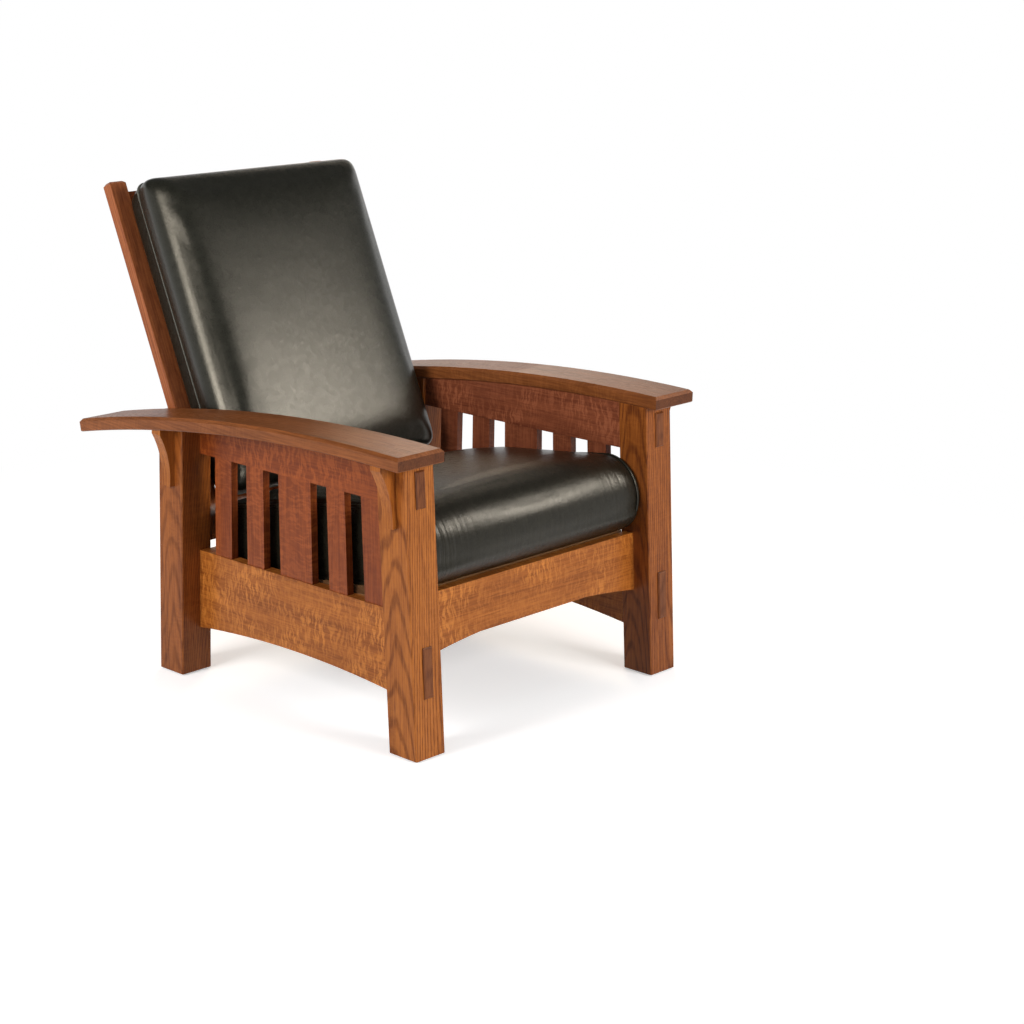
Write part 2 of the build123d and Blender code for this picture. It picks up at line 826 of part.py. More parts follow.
def rear_leg():
    leg = front_to_rear(leg_blank()) - above_arm - lower_side_tenon(joint_clearance)
    leg -= upper_side_tenon(joint_clearance)
    leg -= front_to_rear(cross_tenon(rear_rail_bottom, rear_rail_top, joint_clearance))
    leg -= pivot_pin(drive_clearance)
    for dowel in arm_dowels(glue_gap):
        leg -= dowel
    return leg


def foot_glides():
    middle = front_face(glide_height) + leg_level_depth / 2
    disc = Cylinder(glide_radius, glide_height)
    places = [(side * leg_centre_x, y) for side in (1, -1) for y in (middle, feet_depth - middle)]
    return [Pos(x, y, glide_height / 2) * disc for x, y in places]


def group(pieces):
    return Compound(children=[solid for piece in pieces for solid in piece.solids()])


def both_sides(pieces):
    return group(list(pieces) + [to_right(piece) for piece in pieces])


parts = {}


def add_pair(name, piece):
    parts[f"{name}_left"] = piece
    parts[f"{name}_right"] = to_right(piece)


add_pair("front_leg", front_leg())
add_pair("rear_leg", rear_leg())
add_pair("arm", arm())
add_pair("lower_side_rail", lower_side_rail())
add_pair("upper_side_rail", upper_side_rail())
for number, slat in enumerate(side_slats(), start=1):
    add_pair(f"side_slat_{number}", slat)
parts["front_rail"] = cross_rail_solid(front_rail_bottom, front_rail_top, front_rail_arch)
parts["rear_rail"] = front_to_rear(
    cross_rail_solid(rear_rail_bottom, rear_rail_top, rear_rail_arch)
)
for position, (centre, height) in caps.items():
    add_pair(f"tenon_cap_{position}", tenon_cap(centre, height))
add_pair("corbel_front", corbel(front_top_z) - above_arm)
add_pair("corbel_rear", front_to_rear(corbel(rear_top_z)) - above_arm)
add_pair("side_cleat", side_cleat())
for number, slat in enumerate(seat_slats(), start=1):
    parts[f"seat_slat_{number}"] = slat
parts["seat_slat_screws"] = group(slat_screws())
parts["cleat_screws"] = both_sides(cleat_screws())
parts["arm_dowels"] = both_sides(arm_dowels())
parts["foot_glides"] = group(foot_glides())
parts["pivot_pins"] = both_sides([pivot_pin()])
parts["pivot_washers"] = both_sides([pivot_washer()])
parts["adjusting_rod"] = adjusting_rod()
add_pair("back_stile", back_place * stile())
parts["crest_rail"] = back_place * back_rail_with_mortises(crest_bottom, crest_top)
parts["back_bottom_rail"] = back_place * back_rail_with_mortises(
    bottom_rail_start, bottom_rail_top
)
for number, slat in enumerate(back_slats(), start=1):
    parts[f"back_slat_{number}"] = back_place * slat
parts["stile_bushings"] = both_sides([back_place * pivot_bushing()])
parts["back_cushion"] = back_place * back_cushion()
parts["seat_cushion"] = seat_cushion()

# The origin goes to the middle of the footprint, on the floor
boxes = [piece.bounding_box() for piece in parts.values()]
front_y = min(box.min.Y for box in boxes)
rear_y = max(box.max.Y for box in boxes)
to_origin = Pos(0, -(front_y + rear_y) / 2, 0)

os.makedirs("parts", exist_ok=True)
for name, piece in parts.items():
    export_step(to_origin * piece, f"parts/{name}.step")

shift = (front_y + rear_y) / 2
rod_y, rod_z = groove_point(rod_rest)
print("nodes", len(parts))
print("pivot y", round(pivot_setback - shift, 3), "z", pivot_height)
print("rod y", round(rod_y - shift, 3), "z", round(rod_z, 3), "travel", round(rod_travel, 4))
print("rod slope degrees", round(math.degrees(groove_slope), 4))
print("rod travel per radian", round(rod_travel / math.radians(recline_range), 4))
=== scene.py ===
# %% [markdown]
# # Dressing a mission reclining armchair
# The frame of this chair is already built: legs, bowed arms, rails, slats and a back that
# reclines on pins. Here it gets its looks. The wood is quartersawn oak under a warm satin
# lacquer, and the two loose cushions are black leather, blown up by a cloth simulation.
# Every length is in metres, and the chair stands at the origin with its front towards -Y.

# %% Load the frame
import json
import math

import bmesh
import bpy
from mathutils import Matrix, Vector


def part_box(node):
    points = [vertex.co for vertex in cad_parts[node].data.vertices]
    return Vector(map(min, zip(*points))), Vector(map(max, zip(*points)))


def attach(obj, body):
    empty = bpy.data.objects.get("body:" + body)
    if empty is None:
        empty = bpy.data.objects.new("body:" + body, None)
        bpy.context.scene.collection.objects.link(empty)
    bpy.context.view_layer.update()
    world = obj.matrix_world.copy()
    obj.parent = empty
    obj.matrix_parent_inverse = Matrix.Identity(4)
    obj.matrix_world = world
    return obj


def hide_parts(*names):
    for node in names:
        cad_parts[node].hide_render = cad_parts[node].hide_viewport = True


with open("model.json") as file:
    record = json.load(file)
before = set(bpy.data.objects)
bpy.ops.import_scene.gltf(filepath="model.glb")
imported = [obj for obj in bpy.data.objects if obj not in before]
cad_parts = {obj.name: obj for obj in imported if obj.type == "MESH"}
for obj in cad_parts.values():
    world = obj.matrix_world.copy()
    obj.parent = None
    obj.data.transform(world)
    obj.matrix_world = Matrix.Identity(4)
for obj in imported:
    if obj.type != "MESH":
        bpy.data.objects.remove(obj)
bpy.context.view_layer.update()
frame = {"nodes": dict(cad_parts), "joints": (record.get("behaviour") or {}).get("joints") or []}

nodes = frame["nodes"]

# %% [markdown]
# ## Small helpers
# Operators act on whatever is selected, so the selection is cleared before each piece.
# In edit mode, the faces or edges to work on are picked by where they lie.

# %% Selecting and applying
tolerance = 0.001


def clear_selection():
    if bpy.context.object and bpy.context.object.mode != "OBJECT":
        bpy.ops.object.mode_set(mode="OBJECT")
    bpy.ops.object.select_all(action="DESELECT")


def activate(piece):
    """Makes a piece the only one selected, in object mode."""
    clear_selection()
    piece.select_set(True)
    bpy.context.view_layer.objects.active = piece


def block(name, size, middle):
    """A new box of a given size round a given point, left in edit mode."""
    clear_selection()
    bpy.ops.mesh.primitive_cube_add(size=1.0)
    piece = bpy.context.object
    piece.name = name
    piece.scale = size
    piece.location = middle
    bpy.ops.object.transform_apply(location=True, rotation=True, scale=True)
    bpy.ops.object.mode_set(mode="EDIT")
    return piece


def pick(piece, kind, test):
    """In edit mode, selects the vertices, edges or faces whose corners all pass a test."""
    bpy.ops.mesh.select_mode(type=kind)
    bpy.ops.mesh.select_all(action="DESELECT")
    mesh = bmesh.from_edit_mesh(piece.data)
    elements = {"VERT": mesh.verts, "EDGE": mesh.edges, "FACE": mesh.faces}[kind]
    for element in elements:
        corners = [element] if kind == "VERT" else element.verts
        if all(test(corner.co) for corner in corners):
            element.select_set(True)
    mesh.select_flush_mode()
    bmesh.update_edit_mesh(piece.data)


def pick_edges(piece, test):
    """In edit mode, selects the edges whose two ends together pass a test."""
    bpy.ops.mesh.select_mode(type="EDGE")
    bpy.ops.mesh.select_all(action="DESELECT")
    mesh = bmesh.from_edit_mesh(piece.data)
    for edge in mesh.edges:
        if test(*(corner.co for corner in edge.verts)):
            edge.select_set(True)
    bmesh.update_edit_mesh(piece.data)


def settle(piece, place):
    """Moves a piece to its place and bakes that into its mesh."""
    activate(piece)
    piece.matrix_world = place
    bpy.ops.object.transform_apply(location=True, rotation=True, scale=True)


# %% [markdown]
# ## Camera
# The view is the photograph's: from the front right of the chair, a little above it. The
# long lens keeps the chair's lines nearly parallel.

# %% Camera
view_turn = math.radians(-46.263)
view_down = math.radians(15.325)
view_roll = math.radians(0.19)
camera_data = bpy.data.cameras.new("photo_camera")
camera = bpy.data.objects.new("photo_camera", camera_data)
bpy.context.collection.objects.link(camera)
camera.location = (-3.0414, -3.2888, 1.5494)
camera.rotation_euler = (
    Matrix.Rotation(view_turn, 3, "Z")
    @ Matrix.Rotation(math.pi / 2 - view_down, 3, "X")
    @ Matrix.Rotation(view_roll, 3, "Z")
).to_euler()
camera_data.sensor_width = 36.0
camera_data.lens = 76.80
camera_data.shift_x = 0.00567
camera_data.shift_y = -0.0012
bpy.context.scene.camera = camera
print("camera at", tuple(round(v, 2) for v in camera.location))

# %% [markdown]
# ## Studio
# A pale floor, a white surround and large soft lamps, as for a catalogue picture. The
# surround is white where it is looked at, and where it is mirrored near the horizon. What it
# throws on the chair is weaker, so that the lamps can shape the wood and the leather.

# %% Shader helpers
def feed(tree, node, inputs):
    """Gives each named input of a node a value, or a link where it gets a socket."""
    for name, value in inputs.items():
        if isinstance(value, bpy.types.NodeSocket):
            tree.links.new(value, node.inputs[name])
        else:
            node.inputs[name].default_value = value


def add(tree, kind, inputs=None, **settings):
    """Adds a shader node with its settings and inputs."""
    made = tree.nodes.new(kind)
    for name, value in settings.items():
        setattr(made, name, value)
    feed(tree, made, inputs or {})
    return made


def maths(tree, operation, first, second=0.0, third=0.0):
    made = add(tree, "ShaderNodeMath", {0: first, 1: second, 2: third}, operation=operation)
    return made.outputs[0]


def ramp(tree, value, low, high):
    """Smooth step from 0 at low to 1 at high."""
    inputs = {"Value": value, "From Min": low, "From Max": high}
    made = add(tree, "ShaderNodeMapRange", inputs, interpolation_type="SMOOTHSTEP")
    return made.outputs["Result"]


# %% White surround
surround_light = 0.26
mirrored_ceiling = 0.15
ceiling_start, ceiling_end = 0.05, 0.45
world = bpy.data.worlds.new("white_studio")
world.use_nodes = True
bpy.context.scene.world = world
tree = world.node_tree
tree.nodes.clear()
path = add(tree, "ShaderNodeLightPath").outputs
direction = add(tree, "ShaderNodeTexCoord").outputs["Generated"]
height = add(tree, "ShaderNodeSeparateXYZ", {0: direction}).outputs["Z"]
overhead = ramp(tree, height, ceiling_start, ceiling_end)
mirrored = maths(tree, "MULTIPLY_ADD", overhead, mirrored_ceiling - 1, 1.0)
mirrored = maths(tree, "MULTIPLY", mirrored, path["Is Glossy Ray"])
white = maths(tree, "MAXIMUM", path["Is Camera Ray"], path["Is Transmission Ray"])
white = maths(tree, "MAXIMUM", white, mirrored)
diffuse = maths(tree, "MULTIPLY", path["Is Diffuse Ray"], surround_light)
strength = maths(tree, "MAXIMUM", white, diffuse)
background = add(tree, "ShaderNodeBackground", {"Color": (1, 1, 1, 1), "Strength": strength})
add(tree, "ShaderNodeOutputWorld", {"Surface": background.outputs[0]})

# %% [markdown]
# The floor is a wide disc. Near the chair it is matt and keeps the chair's shadow; further
# out it turns into the same plain white as the surround, so that no edge shows.

# %% Floor
floor_radius = 9.0
shade_as_lit, shade_as_seen = 0.60, 0.90
floor_glow = 0.42
shadow_reach, white_from = 0.9, 2.0
clear_selection()
bpy.ops.mesh.primitive_circle_add(vertices=96, radius=floor_radius, fill_type="NGON")
floor = bpy.context.object
floor.name = "studio_floor"
floor_material = bpy.data.materials.new("pale_floor")
floor_material.use_nodes = True
tree = floor_material.node_tree
tree.nodes.clear()
path = add(tree, "ShaderNodeLightPath").outputs
seen = maths(tree, "MAXIMUM", path["Is Camera Ray"], path["Is Glossy Ray"])
seen = maths(tree, "MAXIMUM", seen, path["Is Transmission Ray"])
place = add(tree, "ShaderNodeTexCoord").outputs["Object"]
radius = add(tree, "ShaderNodeVectorMath", {0: place}, operation="LENGTH").outputs["Value"]
floor_shade = maths(tree, "MULTIPLY_ADD", seen, shade_as_seen - shade_as_lit, shade_as_lit)
paint = add(tree, "ShaderNodeBsdfDiffuse", {"Color": floor_shade}).outputs[0]
glow = add(tree, "ShaderNodeEmission", {"Strength": floor_glow}).outputs[0]
lifted = add(tree, "ShaderNodeAddShader", {0: paint, 1: glow}).outputs[0]
near_floor = add(tree, "ShaderNodeMixShader", {0: seen, 1: paint, 2: lifted}).outputs[0]
far_white = add(tree, "ShaderNodeEmission", {"Strength": 1.0}).outputs[0]
fade = maths(tree, "MULTIPLY", ramp(tree, radius, shadow_reach, white_from), seen)
surface = add(tree, "ShaderNodeMixShader", {0: fade, 1: near_floor, 2: far_white})
add(tree, "ShaderNodeOutputMaterial", {"Surface": surface.outputs[0]})
floor.data.materials.append(floor_material)


# %% [markdown]
# A large lamp on the left lights the side, one at the front lights the front, and a warm one
# behind on the right brightens the far arm. Leather shows what it mirrors, so some panels are
# there only for that: one makes the streak down the rounded edge of the back cushion, and one
# the soft sheen on its face and on the front of the seat. A third, weak one warms the seat.

# %% Lamps
def softbox(name, place, aim, size, power, colour=(1, 1, 1), mirrored=False):
    """A soft lamp that lights surfaces or, if mirrored, only shows in shiny ones."""
    data = bpy.data.lights.new(name, "AREA")
    data.shape = "RECTANGLE"
    data.size, data.size_y = size
    data.energy = power
    data.color = colour
    lamp = bpy.data.objects.new(name, data)
    bpy.context.collection.objects.link(lamp)
    lamp.location = place
    towards = Vector(aim) - Vector(place)
    lamp.rotation_euler = towards.to_track_quat("-Z", "Y").to_euler()
    lamp.visible_camera = False
    lamp.visible_diffuse = not mirrored
    lamp.visible_glossy = mirrored


cream = (1.0, 0.93, 0.84)
amber = (1.0, 0.82, 0.60)
chair_middle = (0, 0, 0.45)
behind_right = ((2.2, 1.9, 1.8), (0.2, 0, 0.6), (1.0, 0.8))
on_the_left = ((-2.35, -1.75, 1.5), (-0.3, 0.1, 0.75), (0.5, 1.6))
near_the_arm = ((0.99, -1.16, 1.19), (-0.1, 0.1, 0.7), (0.30, 0.5))
softbox("key_left", (-3.4, 0.2, 1.8), chair_middle, (1.4, 1.8), 100)
softbox("fill_front", (0.6, -4.0, 1.6), chair_middle, (1.8, 1.8), 134)
softbox("overhead", (0.3, -0.3, 3.6), (0, 0, 0.4), (2.4, 2.4), 8)
softbox("rim_right", *behind_right, 42, amber)
softbox("seat_sheen", *behind_right, 48, amber, mirrored=True)
softbox("edge_streak", *on_the_left, 100, cream, mirrored=True)
softbox("face_sheen", *near_the_arm, 17, cream, mirrored=True)
bpy.context.scene.view_settings.view_transform = "Standard"
print("studio: floor, white surround and soft lamps")

# %% [markdown]
# ## Oak
# Mission furniture is made of quartersawn oak: on the wide faces the wood's rays show as
# pale wavy flecks across the grain, and where a board is cut flat the rings run in tall
# arches. One node group draws the rings, the pores and the flecks in a board's own
# coordinates: X along the grain, Y across the face and Z through it.

# %% Oak figure
def make_group(name, inputs):
    """A node group that gives a colour, a roughness and a height for bumps."""
    group = bpy.data.node_groups.new(name, "ShaderNodeTree")
    for socket_name, kind, value in inputs:
        socket = group.interface.new_socket(socket_name, in_out="INPUT", socket_type=kind)
        if value is not None:
            socket.default_value = value
    for socket_name, kind in (("Color", "Color"), ("Roughness", "Float"), ("Height", "Float")):
        socket_type = f"NodeSocket{kind}"
        group.interface.new_socket(socket_name, in_out="OUTPUT", socket_type=socket_type)
    return group, add(group, "NodeGroupInput").outputs, add(group, "NodeGroupOutput")


def scaled(tree, vector, scale):
    made = add(tree, "ShaderNodeVectorMath", {0: vector, 1: scale}, operation="MULTIPLY")
    return made.outputs[0]


def shifted(tree, vector, other):
    return add(tree, "ShaderNodeVectorMath", {0: vector, 1: other}, operation="ADD").outputs[0]


def noise_value(tree, vector, detail=2.0, roughness=0.5):
    inputs = {"Vector": vector, "Scale": 1.0, "Detail": detail, "Roughness": roughness}
    return add(tree, "ShaderNodeTexNoise", inputs).outputs["Fac"]


def mixed(tree, share, first, second, blend="MIX"):
    """Mixes two colours; the colour sockets of the mix node are its inputs 6 and 7."""
    inputs = {0: share, 6: first, 7: second}
    return add(tree, "ShaderNodeMix", inputs, data_type="RGBA", blend_type=blend).outputs[2]


oak_group, given, result = make_group(
    "oak_figure",
    [
        ("Grain", "NodeSocketVector", None),
        ("Seed", "NodeSocketFloat", 0.0),
        ("Light", "NodeSocketColor", (0.5, 0.2, 0.07, 1)),
        ("Dark", "NodeSocketColor", (0.2, 0.06, 0.02, 1)),
        ("Arches", "NodeSocketFloat", 0.5),
        ("Flecks", "NodeSocketFloat", 0.5),
        ("Log Distance", "NodeSocketFloat", 0.06),
        ("End Grain", "NodeSocketFloat", 0.0),
    ],
)
tree = oak_group
seed_shift = add(
    tree, "ShaderNodeVectorMath", {0: (0.73, 0.31, 0.19), "Scale": given["Seed"]},
    operation="SCALE",
).outputs[0]
place = shifted(tree, given["Grain"], seed_shift)

# %% [markdown]
# The rings are circles round a log whose axis leans a little, so that on a flat-cut face they
# come out as arches. The early wood of each ring is full of dark pores.

# %% Rings and pores
log_lean = 0.075
ring_width = 0.0056
ring_wander = 0.030
wander = noise_value(tree, scaled(tree, place, (2.2, 9.0, 9.0)), detail=3.0)
wander = maths(tree, "MULTIPLY_ADD", wander, ring_wander, -ring_wander / 2)
board = add(tree, "ShaderNodeSeparateXYZ", {0: given["Grain"]}).outputs
across = maths(tree, "ADD", board["Y"], wander)
depth = maths(tree, "MULTIPLY_ADD", board["X"], log_lean, given["Log Distance"])
depth = maths(tree, "ADD", maths(tree, "ADD", board["Z"], depth), wander)
squares = maths(tree, "MULTIPLY", depth, depth)
ring_radius = maths(tree, "SQRT", maths(tree, "MULTIPLY_ADD", across, across, squares))
ring = maths(tree, "PINGPONG", maths(tree, "DIVIDE", ring_radius, ring_width), 0.5)
early_wood = maths(tree, "SUBTRACT", 1.0, ramp(tree, ring, 0.04, 0.30))
fibres = noise_value(tree, scaled(tree, place, (26.0, 620.0, 620.0)), detail=3.0, roughness=0.7)
ring_pores = maths(tree, "MULTIPLY_ADD", ramp(tree, fibres, 0.34, 0.62), 0.7, 0.3)
ring_pores = maths(tree, "MULTIPLY", ring_pores, early_wood)
ring_pores = maths(tree, "MULTIPLY", ring_pores, given["Arches"])
pores = maths(tree, "MULTIPLY", ramp(tree, fibres, 0.48, 0.68), 0.6)
pores = maths(tree, "MAXIMUM", pores, ring_pores)

# %% [markdown]
# Stain takes unevenly along the grain: broad soft bands, and finer streaks a few millimetres
# wide. The rays cross the grain as wavy ribbons that catch the light, in patches.

# %% Streaks and rays
ray_sway = 0.036
gap_tint = (0.84, 0.80, 0.78, 1)
ray_tint = (1.22, 1.30, 1.35, 1)
streaks = noise_value(tree, scaled(tree, place, (1.1, 30.0, 30.0)), detail=3.0, roughness=0.6)
fine_streaks = noise_value(tree, scaled(tree, place, (7.0, 210.0, 210.0)), detail=3.0)
tone = maths(tree, "MULTIPLY_ADD", ramp(tree, streaks, 0.30, 0.70), 0.42, 0.02)
tone = maths(tree, "MULTIPLY_ADD", ramp(tree, fine_streaks, 0.30, 0.70), 0.50, tone)
colour = mixed(tree, tone, given["Dark"], given["Light"])
sway = noise_value(tree, scaled(tree, place, (20.0, 20.0, 20.0)), detail=3.0, roughness=0.6)
sway = maths(tree, "MULTIPLY_ADD", sway, ray_sway, -ray_sway / 2)
swayed = shifted(tree, place, add(tree, "ShaderNodeCombineXYZ", {0: sway}).outputs[0])
rays = noise_value(tree, scaled(tree, swayed, (190.0, 38.0, 12.0)), detail=1.5)
ray_patches = noise_value(tree, scaled(tree, place, (6.0, 9.0, 6.0)), detail=1.0)
ray_patches = maths(tree, "MULTIPLY_ADD", ramp(tree, ray_patches, 0.34, 0.62), 0.75, 0.25)
rays = maths(tree, "MULTIPLY", ramp(tree, rays, 0.44, 0.62), ray_patches)
rays = maths(tree, "MULTIPLY", rays, given["Flecks"])
between_rays = mixed(tree, given["Flecks"], (1, 1, 1, 1), gap_tint)
colour = mixed(tree, 1.0, colour, between_rays, "MULTIPLY")
ray_colour = mixed(tree, 1.0, given["Light"], ray_tint, "MULTIPLY")
colour = mixed(tree, maths(tree, "MULTIPLY", rays, 0.80), colour, ray_colour)

# %% [markdown]
# Pores and end grain soak up the stain, so they are darker and duller. The rays are a little
# glossier than the wood between them.

# %% Oak surface
pore_tint = (0.30, 0.20, 0.15, 1)
end_tint = (0.36, 0.32, 0.30, 1)
pore_share = maths(tree, "MULTIPLY", pores, 0.72)
colour = mixed(tree, pore_share, colour, pore_tint, "MULTIPLY")
end_share = maths(tree, "MULTIPLY", given["End Grain"], 0.85)
colour = mixed(tree, end_share, colour, end_tint, "MULTIPLY")
rough = maths(tree, "MULTIPLY_ADD", pores, 0.16, 0.38)
rough = maths(tree, "MULTIPLY_ADD", rays, -0.08, rough)
rough = maths(tree, "MULTIPLY_ADD", given["End Grain"], 0.15, rough)
height = maths(tree, "SUBTRACT", 1.0, pores)
feed(tree, result, {"Color": colour, "Roughness": rough, "Height": height})
print("group oak_figure:", len(tree.nodes), "nodes")

# %% [markdown]
# ## One material for each board
# No two boards of a real chair match. So each board gets its own material with its own seed,
# turned so that the grain runs along the board and centred on it. Each stain is a light and a
# dark colour, and the wood varies between the two. Some of these colours are darker or greyer
# copies that hold painted shade or painted sheen, as said where they are set.

# %% Boards
X, Y, Z = Vector((1, 0, 0)), Vector((0, 1, 0)), Vector((0, 0, 1))
back_tilt = math.radians(23.4)
up_back = Vector((0, math.sin(back_tilt), math.cos(back_tilt)))
warm_oak = ((0.470, 0.154, 0.027, 1), (0.225, 0.060, 0.009, 1))
# A darker copy of warm_oak: painted shade for the rear legs and the far front leg.
shaded_oak = ((0.350, 0.106, 0.020, 1), (0.170, 0.042, 0.007, 1))
red_oak = ((0.310, 0.071, 0.014, 1), (0.146, 0.028, 0.006, 1))
# warm_oak with more blue: the posts' own paler tone, together with a painted sheen from the white
# surround.
pale_sheen_oak = ((0.465, 0.150, 0.050, 1), (0.222, 0.058, 0.019, 1))
# A darker, bluer copy of the oak: painted shade for the far side's slats and upper rail.
far_shade_oak = ((0.335, 0.100, 0.044, 1), (0.158, 0.040, 0.018, 1))
brown_oak = ((0.300, 0.096, 0.027, 1), (0.150, 0.044, 0.011, 1))
cap_oak = ((0.230, 0.072, 0.019, 1), (0.115, 0.032, 0.009, 1))
# Plain oak darkened to a brown: painted shade, for the seat slats that show only in the shadow
# under the cushion.
shaded_plain_oak = ((0.300, 0.160, 0.070, 1), (0.170, 0.080, 0.034, 1))


def object_material(name):
    """A new material, with its tree, its shader and its texture coordinates."""
    material = bpy.data.materials.new(name)
    material.use_nodes = True
    tree = material.node_tree
    coordinates = add(tree, "ShaderNodeTexCoord").outputs
    return material, tree, tree.nodes["Principled BSDF"], coordinates


def wood(name, along, across, stain, arches, flecks, seed, lacquer=0.12):
    """Oak for one board; along and across are the directions of its grain and its face."""
    low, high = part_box(name)
    centre = (Vector(low) + Vector(high)) / 2
    turn = Matrix((along, across, along.cross(across)))
    material, tree, shader, place = object_material(f"oak_{name}")
    mapping = {"Vector": place["Object"], "Location": -(turn @ centre)}
    mapping["Rotation"] = turn.to_euler()
    ends = {0: place["Normal"], 1: along}
    facing = add(tree, "ShaderNodeVectorMath", ends, operation="DOT_PRODUCT").outputs["Value"]
    light, dark = stain
    figure = add(
        tree, "ShaderNodeGroup",
        {
            "Grain": add(tree, "ShaderNodeMapping", mapping).outputs[0],
            "Seed": seed,
            "Light": light,
            "Dark": dark,
            "Arches": arches,
            "Flecks": flecks,
            "Log Distance": 0.045 + 0.03 * (seed * 0.618 % 1),
            "End Grain": ramp(tree, maths(tree, "ABSOLUTE", facing), 0.72, 0.92),
        },
        node_tree=oak_group,
    ).outputs
    bump = {"Height": figure["Height"], "Strength": 0.35, "Distance": 0.0004}
    surface = {
        "Base Color": figure["Color"],
        "Roughness": figure["Roughness"],
        "Normal": add(tree, "ShaderNodeBump", bump).outputs[0],
        "Coat Weight": lacquer,
        "Coat Roughness": 0.25,
        "Specular IOR Level": 0.14,
    }
    feed(tree, shader, surface)
    return material


def dress(name, material):
    for slot in nodes[name].material_slots:
        slot.material = material


# %% [markdown]
# Each row says which way the grain runs, which way the face lies, the stain, and how strongly
# the arches and the flecks show.

# %% Oak on every board
oak_boards = []
# The left side is the far side: its front leg, slats and upper rail take the shaded copies, as
# painted shade.
for side, leg_oak, slat_oak in (("left", shaded_oak, far_shade_oak), ("right", warm_oak, red_oak)):
    oak_boards += [
        (f"front_leg_{side}", Z, Y, leg_oak, 1.2, 0.15),
        # Both rear legs take the darker copy: painted shade, for light that falls off towards the
        # rear.
        (f"rear_leg_{side}", Z, Y, shaded_oak, 0.9, 0.20),
        (f"arm_{side}", Y, X, brown_oak, 0.5, 0.25),
        (f"lower_side_rail_{side}", Y, Z, warm_oak, 0.15, 1.0),
        (f"upper_side_rail_{side}", Y, Z, slat_oak, 0.15, 0.7),
        (f"corbel_front_{side}", Z, X, warm_oak, 0.4, 0.1),
        (f"corbel_rear_{side}", Z, X, warm_oak, 0.4, 0.1),
        # The back posts take the greyer oak: their own tone together with a painted sheen.
        (f"back_stile_{side}", up_back, X, pale_sheen_oak, 0.6, 0.1),
    ]
    oak_boards += [(f"side_slat_{i}_{side}", Z, Y, slat_oak, 0.35, 0.5) for i in range(1, 6)]
oak_boards += [
    ("front_rail", X, Z, warm_oak, 0.15, 1.0),
    ("rear_rail", X, Z, warm_oak, 0.15, 1.0),
    ("crest_rail", X, up_back, red_oak, 0.3, 0.6),
    ("back_bottom_rail", X, up_back, red_oak, 0.3, 0.6),
    ("adjusting_rod", X, Z, warm_oak, 0.3, 0.0),
]
oak_boards += [(f"back_slat_{i}", up_back, X, red_oak, 0.3, 0.5) for i in range(1, 6)]
for number, (name, *looks) in enumerate(oak_boards):
    dress(name, wood(name, *looks, 1.7 * number))
caps = [f"tenon_cap_{place}_{side}" for place in ("upper", "lower") for side in ("left", "right")]
for number, name in enumerate(caps):
    dress(name, wood(name, Z, X, cap_oak, 0.8, 0.0, 90.0 + number))
# The seat slats, cleats and dowels take the darkened plain oak: painted shade under the cushion.
plain_boards = [(f"seat_slat_{i}", X, Y) for i in range(1, 8)]
plain_boards += [("side_cleat_left", Y, Z), ("side_cleat_right", Y, Z), ("arm_dowels", Z, X)]
for number, (name, along, across) in enumerate(plain_boards):
    dress(name, wood(name, along, across, shaded_plain_oak, 0.5, 0.1, 120.0 + number, lacquer=0.0))
print("wood:", len(oak_boards), "oak boards,", len(caps), "caps,", len(plain_boards), "plain")

# %% [markdown]
# ## Steel and nylon
# Screws and pins are steel, and the glides, washers and bushings are matt nylon. Both have a
# faint mottle. They hardly show, but the chair is looked at from below too.

# %% Steel and nylon
def small_part_material(name, colour, metallic, roughness, grain):
    material, tree, shader, place = object_material(name)
    mottle = noise_value(tree, scaled(tree, place["Object"], (grain, grain, grain)), detail=3.0)
    darker = tuple(0.75 * value for value in colour[:3]) + (1,)
    surface = {
        "Base Color": mixed(tree, mottle, darker, colour),
        "Roughness": maths(tree, "MULTIPLY_ADD", mottle, 0.2, roughness - 0.1),
        "Metallic": metallic,
    }
    feed(tree, shader, surface)
    return material


steel = small_part_material("turned_steel", (0.62, 0.62, 0.63, 1), 1.0, 0.35, 900.0)
nylon = small_part_material("dark_nylon", (0.06, 0.05, 0.045, 1), 0.0, 0.55, 400.0)
for name in ("seat_slat_screws", "cleat_screws", "pivot_pins"):
    dress(name, steel)
for name in ("foot_glides", "pivot_washers", "stile_bushings"):
    dress(name, nylon)

# %% [markdown]
# ## Leather
# The cushions are soft black leather with an olive cast and a fine pebble grain. The grain is
# a net of small cells, and a much larger, shallow noise makes the reflections swim a little,
# as they do on leather over foam. Near the ends of the seat cushion the cover is gathered
# into narrow folds that run along the seam. The seat is a little duller from use.

# %% Leather
pebble_size = 0.0017
pebble_depth, fold_depth = 0.35, 4.5
gather_depth, gather_rise = 3.0, 8.0
gather_start, gather_end = 0.17, 0.285
leather_group, given, result = make_group(
    "leather_grain",
    [
        ("Place", "NodeSocketVector", None),
        ("Light", "NodeSocketColor", (0.05, 0.05, 0.04, 1)),
        ("Dark", "NodeSocketColor", (0.02, 0.02, 0.016, 1)),
        ("Gathers", "NodeSocketFloat", 0.2),
    ],
)
tree = leather_group
place = given["Place"]
cells = {"Vector": place, "Scale": 1.0 / pebble_size}
pebbles = add(tree, "ShaderNodeTexVoronoi", cells, feature="DISTANCE_TO_EDGE")
pebbles = ramp(tree, pebbles.outputs["Distance"], 0.02, 0.28)
folds = noise_value(tree, scaled(tree, place, (16.0, 16.0, 16.0)), detail=3.0)
mottle = noise_value(tree, scaled(tree, place, (60.0, 60.0, 60.0)), detail=3.0)
tone = maths(tree, "MULTIPLY", maths(tree, "MULTIPLY_ADD", pebbles, 0.5, 0.25), mottle)
tone = maths(tree, "MULTIPLY", tone, 2.0)
colour = mixed(tree, tone, given["Dark"], given["Light"])
